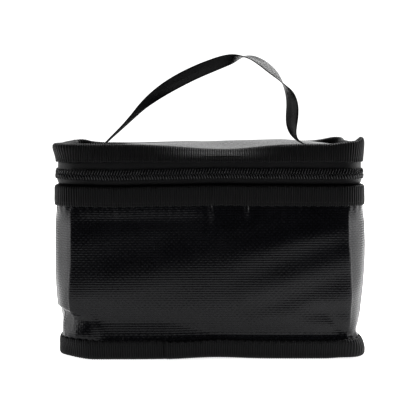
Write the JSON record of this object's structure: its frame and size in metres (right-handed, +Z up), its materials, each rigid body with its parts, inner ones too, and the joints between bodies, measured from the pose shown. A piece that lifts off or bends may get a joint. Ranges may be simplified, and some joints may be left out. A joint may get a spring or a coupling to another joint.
{
  "type": "zip-top battery safe bag",
  "caption": "Soft box-shaped bag with a zip lid hinged at the back, bound seams, a fire-resistant lining and a webbing carrying strap, for storing or charging lithium battery packs.",
  "frame": {"origin": "middle of the underside, on the surface that the bag stands on", "axes": "+X to the right along the width, +Y to the back where the lid is hinged, +Z up; the front faces -Y"},
  "size_m": [0.2202, 0.1146, 0.2138],
  "materials": {
    "shell_fabric": "glossy coated weave",
    "lining_fabric": "matt silver-grey glass-fibre cloth",
    "binding_tape": "ribbed grosgrain, soft sheen",
    "zip_fabric": "fine woven tape",
    "coil_plastic": "satin",
    "webbing": "smooth woven webbing",
    "black_metal": "satin black paint"
  },
  "bodies": {
    "bag_body": {"body_wall": "shell_fabric", "body_liner": "lining_fabric", "bottom_panel": "shell_fabric", "bottom_liner": "lining_fabric", "bottom_binding": "binding_tape", "rim_binding": "binding_tape", "zip_tape_lower": "zip_fabric", "zip_coil_lower": "coil_plastic", "zip_end_stops": "black_metal", "hinge_web_lower": "shell_fabric"},
    "lid": {"lid_panel": "shell_fabric", "lid_liner": "lining_fabric", "lid_binding": "binding_tape", "zip_tape_upper": "zip_fabric", "zip_coil_upper": "coil_plastic", "hinge_web_upper": "shell_fabric", "strap_end_left": "webbing", "strap_end_right": "webbing"},
    "handle": {"handle_strap": "webbing"},
    "front_slider": {"slider_front": "black_metal"},
    "rear_slider": {"slider_rear": "black_metal"},
    "front_pull": {"pull_tab_front": "black_metal"},
    "rear_pull": {"pull_tab_rear": "black_metal"}
  },
  "joints": [
    {"name": "lid_hinge", "type": "hinge", "parent": "bag_body", "child": "lid", "pos_m": [0, 0.059, 0.1305], "axis": [-1, 0, 0], "range_deg": [0, 180]},
    {"name": "handle_fold", "type": "hinge", "parent": "lid", "child": "handle", "pos_m": [0, -0.038, 0.1575], "axis": [1, 0, 0], "range_deg": [-88, 88]},
    {"name": "front_slider_travel", "type": "slide", "parent": "bag_body", "child": "front_slider", "axis": [0, -1, 0], "range_m": [0, 0.043]},
    {"name": "rear_slider_travel", "type": "slide", "parent": "bag_body", "child": "rear_slider", "axis": [0, 1, 0], "range_m": [0, 0.011]},
    {"name": "front_pull_swing", "type": "hinge", "parent": "front_slider", "child": "front_pull", "pos_m": [0.1108, 0.008, 0.1305], "axis": [0, -1, 0], "range_deg": [-5, 170]},
    {"name": "rear_pull_swing", "type": "hinge", "parent": "rear_slider", "child": "rear_pull", "pos_m": [0.1108, 0.021, 0.1305], "axis": [0, -1, 0], "range_deg": [-5, 170]}
  ]
}
